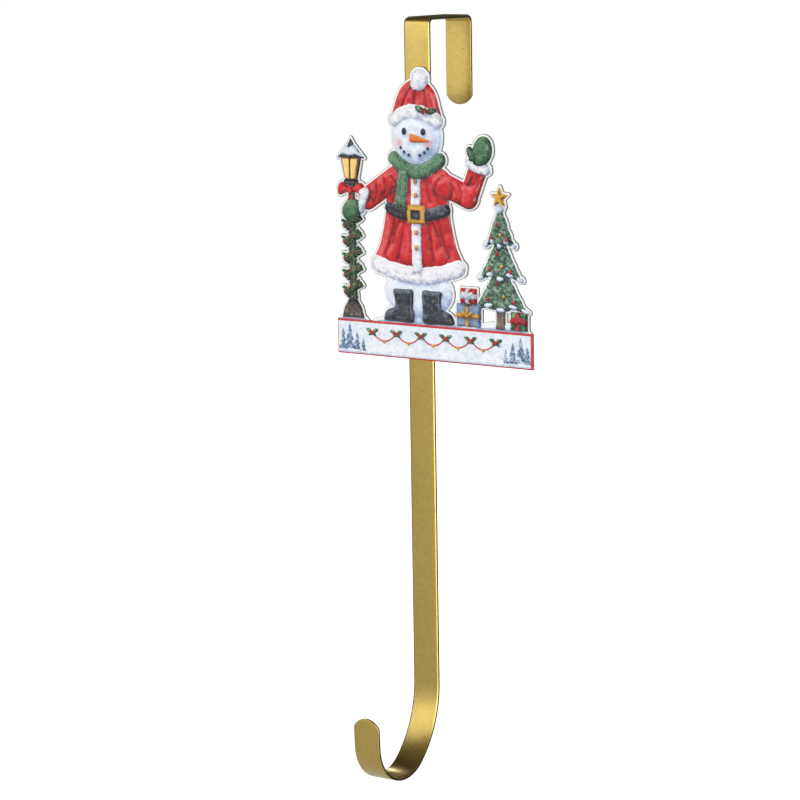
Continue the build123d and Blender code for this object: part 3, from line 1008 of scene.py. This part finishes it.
def gold_coat():
    """Satin metallic gold, with fine grain, and painted shade that darkens the side faces."""
    material, nodes, links, shader = new_material("gold_coat")
    grain = add_noise(nodes, links, GRAIN_SCALE, 3, 0.7)
    cloud = add_noise(nodes, links, CLOUD_SCALE, 3, 0.5)
    patches = add_noise(nodes, links, PATCH_SCALE, 4, 0.6)
    clouded = add_math(nodes, links, "MULTIPLY", cloud, 0.5)
    patched = spread(nodes, links, patches, 0.35, 0.65, 0, 0.5)
    blend = add_math(nodes, links, "ADD", clouded, patched)
    tone = mix_colour(nodes, links, blend, srgb(*DEEP_GOLD), srgb(*PALE_GOLD))
    flecked = mix_colour(nodes, links, 0.3, tone, grain, "MULTIPLY")
    pits = add_noise(nodes, links, PIT_SCALE, 1, 0.4)
    in_pit = spread(nodes, links, pits, 0.73, 0.78, 0, 0.5)
    pitted = mix_colour(nodes, links, in_pit, flecked, srgb(*PIT_BROWN))
    place = nodes.new("ShaderNodeNewGeometry")
    facing = nodes.new("ShaderNodeSeparateXYZ")
    links.new(place.outputs["True Normal"], facing.inputs["Vector"])
    sideways = add_math(nodes, links, "ABSOLUTE", facing.outputs["X"], 0)
    # Painted shade on faces that point sideways, which also lose the clear coat
    side_shade = spread(nodes, links, sideways, *SIDE_SHADE_FACING, 0, 1)
    colour = mix_colour(nodes, links, side_shade, pitted, srgb(*SIDE_SHADE_BROWN))
    links.new(colour, shader.inputs["Base Color"])
    shader.inputs["Metallic"].default_value = 0.92
    links.new(spread(nodes, links, grain, 0, 1, *SATIN), shader.inputs["Roughness"])
    links.new(spread(nodes, links, side_shade, 0, 1, 0.4, 0), shader.inputs["Coat Weight"])
    shader.inputs["Coat Roughness"].default_value = 0.2
    add_bump(nodes, links, shader, grain, GRAIN_DEPTH)
    return material


plaque_art = build_plaque({paint: painted(*look) for paint, look in PAINTS.items()})
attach(plaque_art, "root")
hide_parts("plaque")

strap_art = build_strap()
strap_art.data.materials.append(gold_coat())
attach(strap_art, "root")
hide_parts("hanger_strap")


# Floor, light and camera

FLOOR_DROP = 0.55
FLOOR_RADIUS = 7
AMBIENT = 0.47
# Dark card in the reflections: the way to it, the cosines where it fades in, and its level
DARK_CARD = (-0.85, 0.5, 0.15)
CARD_RIM = (0.4, 0.72)
CARD_LEVEL = 0.05
FLOOR_IN_METAL = 0.68
# How bright reflections show the room at each height, from -1 straight down to 1 straight up
ROOM_BELOW = 0.3
ROOM_LEVELS = ((-0.34, 0.4), (-0.14, 0.75), (0.0, 1), (0.48, 1), (0.66, 0.07))
ROOM_ABOVE = 0.06
MIDDLE = (0, 0, -0.22)
HOOK_FOOT = (0, -0.06, -0.48)
# Name, place, target, width, height and power of each lamp
LAMPS = (
    ("key", (-1.27, -1.73, 0.43), MIDDLE, 1.8, 1.3, 8.8),
    ("edge_light", (0.6, -1.5, -0.15), MIDDLE, 0.6, 1.5, 12),
    ("glint", (-1.3, 1.12, 0.62), HOOK_FOOT, 0.16, 0.16, 1.7),
)


def seen_directly(nodes, links):
    """1 for what the camera sees directly, in a reflection or through glass, else 0."""
    path = nodes.new("ShaderNodeLightPath")
    seen = add_math(nodes, links, "MAXIMUM", path.outputs["Is Camera Ray"], path.outputs["Is Glossy Ray"])
    return add_math(nodes, links, "MAXIMUM", seen, path.outputs["Is Transmission Ray"])


def dark_card(nodes, links, way):
    """Dark for reflections that go toward the card, 1 elsewhere."""
    toward = nodes.new("ShaderNodeVectorMath")
    toward.operation = "DOT_PRODUCT"
    toward.inputs[1].default_value = DARK_CARD
    links.new(way, toward.inputs[0])
    return spread(nodes, links, toward.outputs["Value"], *CARD_RIM, 1, CARD_LEVEL)


def make_floor():
    """Pale floor well below the hook, with the shadow near the middle and white further out.

    Reflections show it as an even grey, with the dark card on its far side.
    """
    middle = (0, 0, cad_low.z - FLOOR_DROP)
    bpy.ops.mesh.primitive_circle_add(vertices=96, radius=FLOOR_RADIUS, fill_type="NGON", location=middle)
    floor = bpy.context.object
    floor.name = "floor"
    material, nodes, links, shader = new_material("pale_floor")
    shader.inputs["Base Color"].default_value = (0.85, 0.85, 0.85, 1)
    shader.inputs["Roughness"].default_value = 0.9
    where = nodes.new("ShaderNodeTexCoord")
    far = nodes.new("ShaderNodeVectorMath")
    far.operation = "LENGTH"
    links.new(where.outputs["Object"], far.inputs[0])
    lift = spread(nodes, links, far.outputs["Value"], 0.8, 2.6, 0.36, 1)
    white = nodes.new("ShaderNodeEmission")
    links.new(add_math(nodes, links, "MULTIPLY", lift, seen_directly(nodes, links)), white.inputs["Strength"])
    both = nodes.new("ShaderNodeAddShader")
    links.new(shader.outputs[0], both.inputs[0])
    links.new(white.outputs[0], both.inputs[1])
    way = nodes.new("ShaderNodeVectorMath")
    way.operation = "NORMALIZE"
    links.new(where.outputs["Object"], way.inputs[0])
    card = dark_card(nodes, links, way.outputs["Vector"])
    near = spread(nodes, links, far.outputs["Value"], 1, 2.2, 1, 0)
    mirrored = nodes.new("ShaderNodeEmission")
    shown = add_math(nodes, links, "MAXIMUM", card, near)
    links.new(add_math(nodes, links, "MULTIPLY", shown, FLOOR_IN_METAL), mirrored.inputs["Strength"])
    choice = nodes.new("ShaderNodeMixShader")
    links.new(nodes.new("ShaderNodeLightPath").outputs["Is Glossy Ray"], choice.inputs[0])
    links.new(both.outputs[0], choice.inputs[1])
    links.new(mirrored.outputs[0], choice.inputs[2])
    links.new(choice.outputs[0], nodes["Material Output"].inputs["Surface"])
    floor.data.materials.append(material)


def make_world():
    """White backdrop. Reflections see it too, with a dim ceiling and a dark card to the left and behind."""
    world = bpy.data.worlds.new("studio")
    bpy.context.scene.world = world
    world.use_nodes = True
    nodes, links = world.node_tree.nodes, world.node_tree.links
    nodes.clear()
    where = nodes.new("ShaderNodeTexCoord")
    part = nodes.new("ShaderNodeSeparateXYZ")
    links.new(where.outputs["Generated"], part.inputs["Vector"])
    level = nodes.new("ShaderNodeValToRGB")
    ramp = level.color_ramp
    ramp.elements[0].color = (ROOM_BELOW, ROOM_BELOW, ROOM_BELOW, 1)
    ramp.elements[1].color = (ROOM_ABOVE, ROOM_ABOVE, ROOM_ABOVE, 1)
    for height, grey in ROOM_LEVELS:
        ramp.elements.new((height + 1) / 2).color = (grey, grey, grey, 1)
    links.new(spread(nodes, links, part.outputs["Z"], -1, 1, 0, 1), level.inputs["Fac"])
    card = dark_card(nodes, links, where.outputs["Generated"])
    glossy = add_math(nodes, links, "MULTIPLY", level.outputs["Color"], card)
    path = nodes.new("ShaderNodeLightPath")
    not_camera = add_math(nodes, links, "SUBTRACT", 1, path.outputs["Is Camera Ray"])
    shaded = add_math(nodes, links, "MULTIPLY", not_camera, add_math(nodes, links, "SUBTRACT", 1, glossy))
    white = nodes.new("ShaderNodeBackground")
    white.inputs["Color"].default_value = (1, 1, 1, 1)
    links.new(add_math(nodes, links, "SUBTRACT", 1, shaded), white.inputs["Strength"])
    soft = nodes.new("ShaderNodeBackground")
    soft.inputs["Color"].default_value = (1, 1, 1, 1)
    soft.inputs["Strength"].default_value = AMBIENT
    mix = nodes.new("ShaderNodeMixShader")
    out = nodes.new("ShaderNodeOutputWorld")
    links.new(seen_directly(nodes, links), mix.inputs[0])
    links.new(soft.outputs[0], mix.inputs[1])
    links.new(white.outputs[0], mix.inputs[2])
    links.new(mix.outputs[0], out.inputs["Surface"])


def soft_box(name, place, target, width, height, power):
    """Rectangular lamp that points at its target."""
    lamp = bpy.data.lights.new(name, "AREA")
    lamp.shape = "RECTANGLE"
    lamp.size = width
    lamp.size_y = height
    lamp.energy = power
    holder = new_object(name, lamp)
    holder.location = place
    holder.rotation_euler = (Vector(target) - Vector(place)).to_track_quat("-Z", "Y").to_euler()


def make_camera():
    """Camera at the place, turn and lens that the strap's edges in the photograph give."""
    photo_size = 800
    focal_pixels = 3005.3
    right = Vector((0.8073199, 0.5898963, -0.0160283))
    up = Vector((-0.0839070, 0.1416339, 0.9863567))
    back = Vector((0.5841183, -0.7949605, 0.1638403))
    data = bpy.data.cameras.new("camera")
    data.sensor_width = 36
    data.lens = focal_pixels / photo_size * data.sensor_width
    camera = new_object("camera", data)
    place = Vector((1.13049, -1.58661, 0.07506))
    camera.matrix_world = Matrix.Translation(place) @ Matrix((right, up, back)).transposed().to_4x4()
    bpy.context.scene.camera = camera


make_floor()
make_world()
for lamp_row in LAMPS:
    soft_box(*lamp_row)
make_camera()
bpy.context.scene.view_settings.view_transform = "Standard"
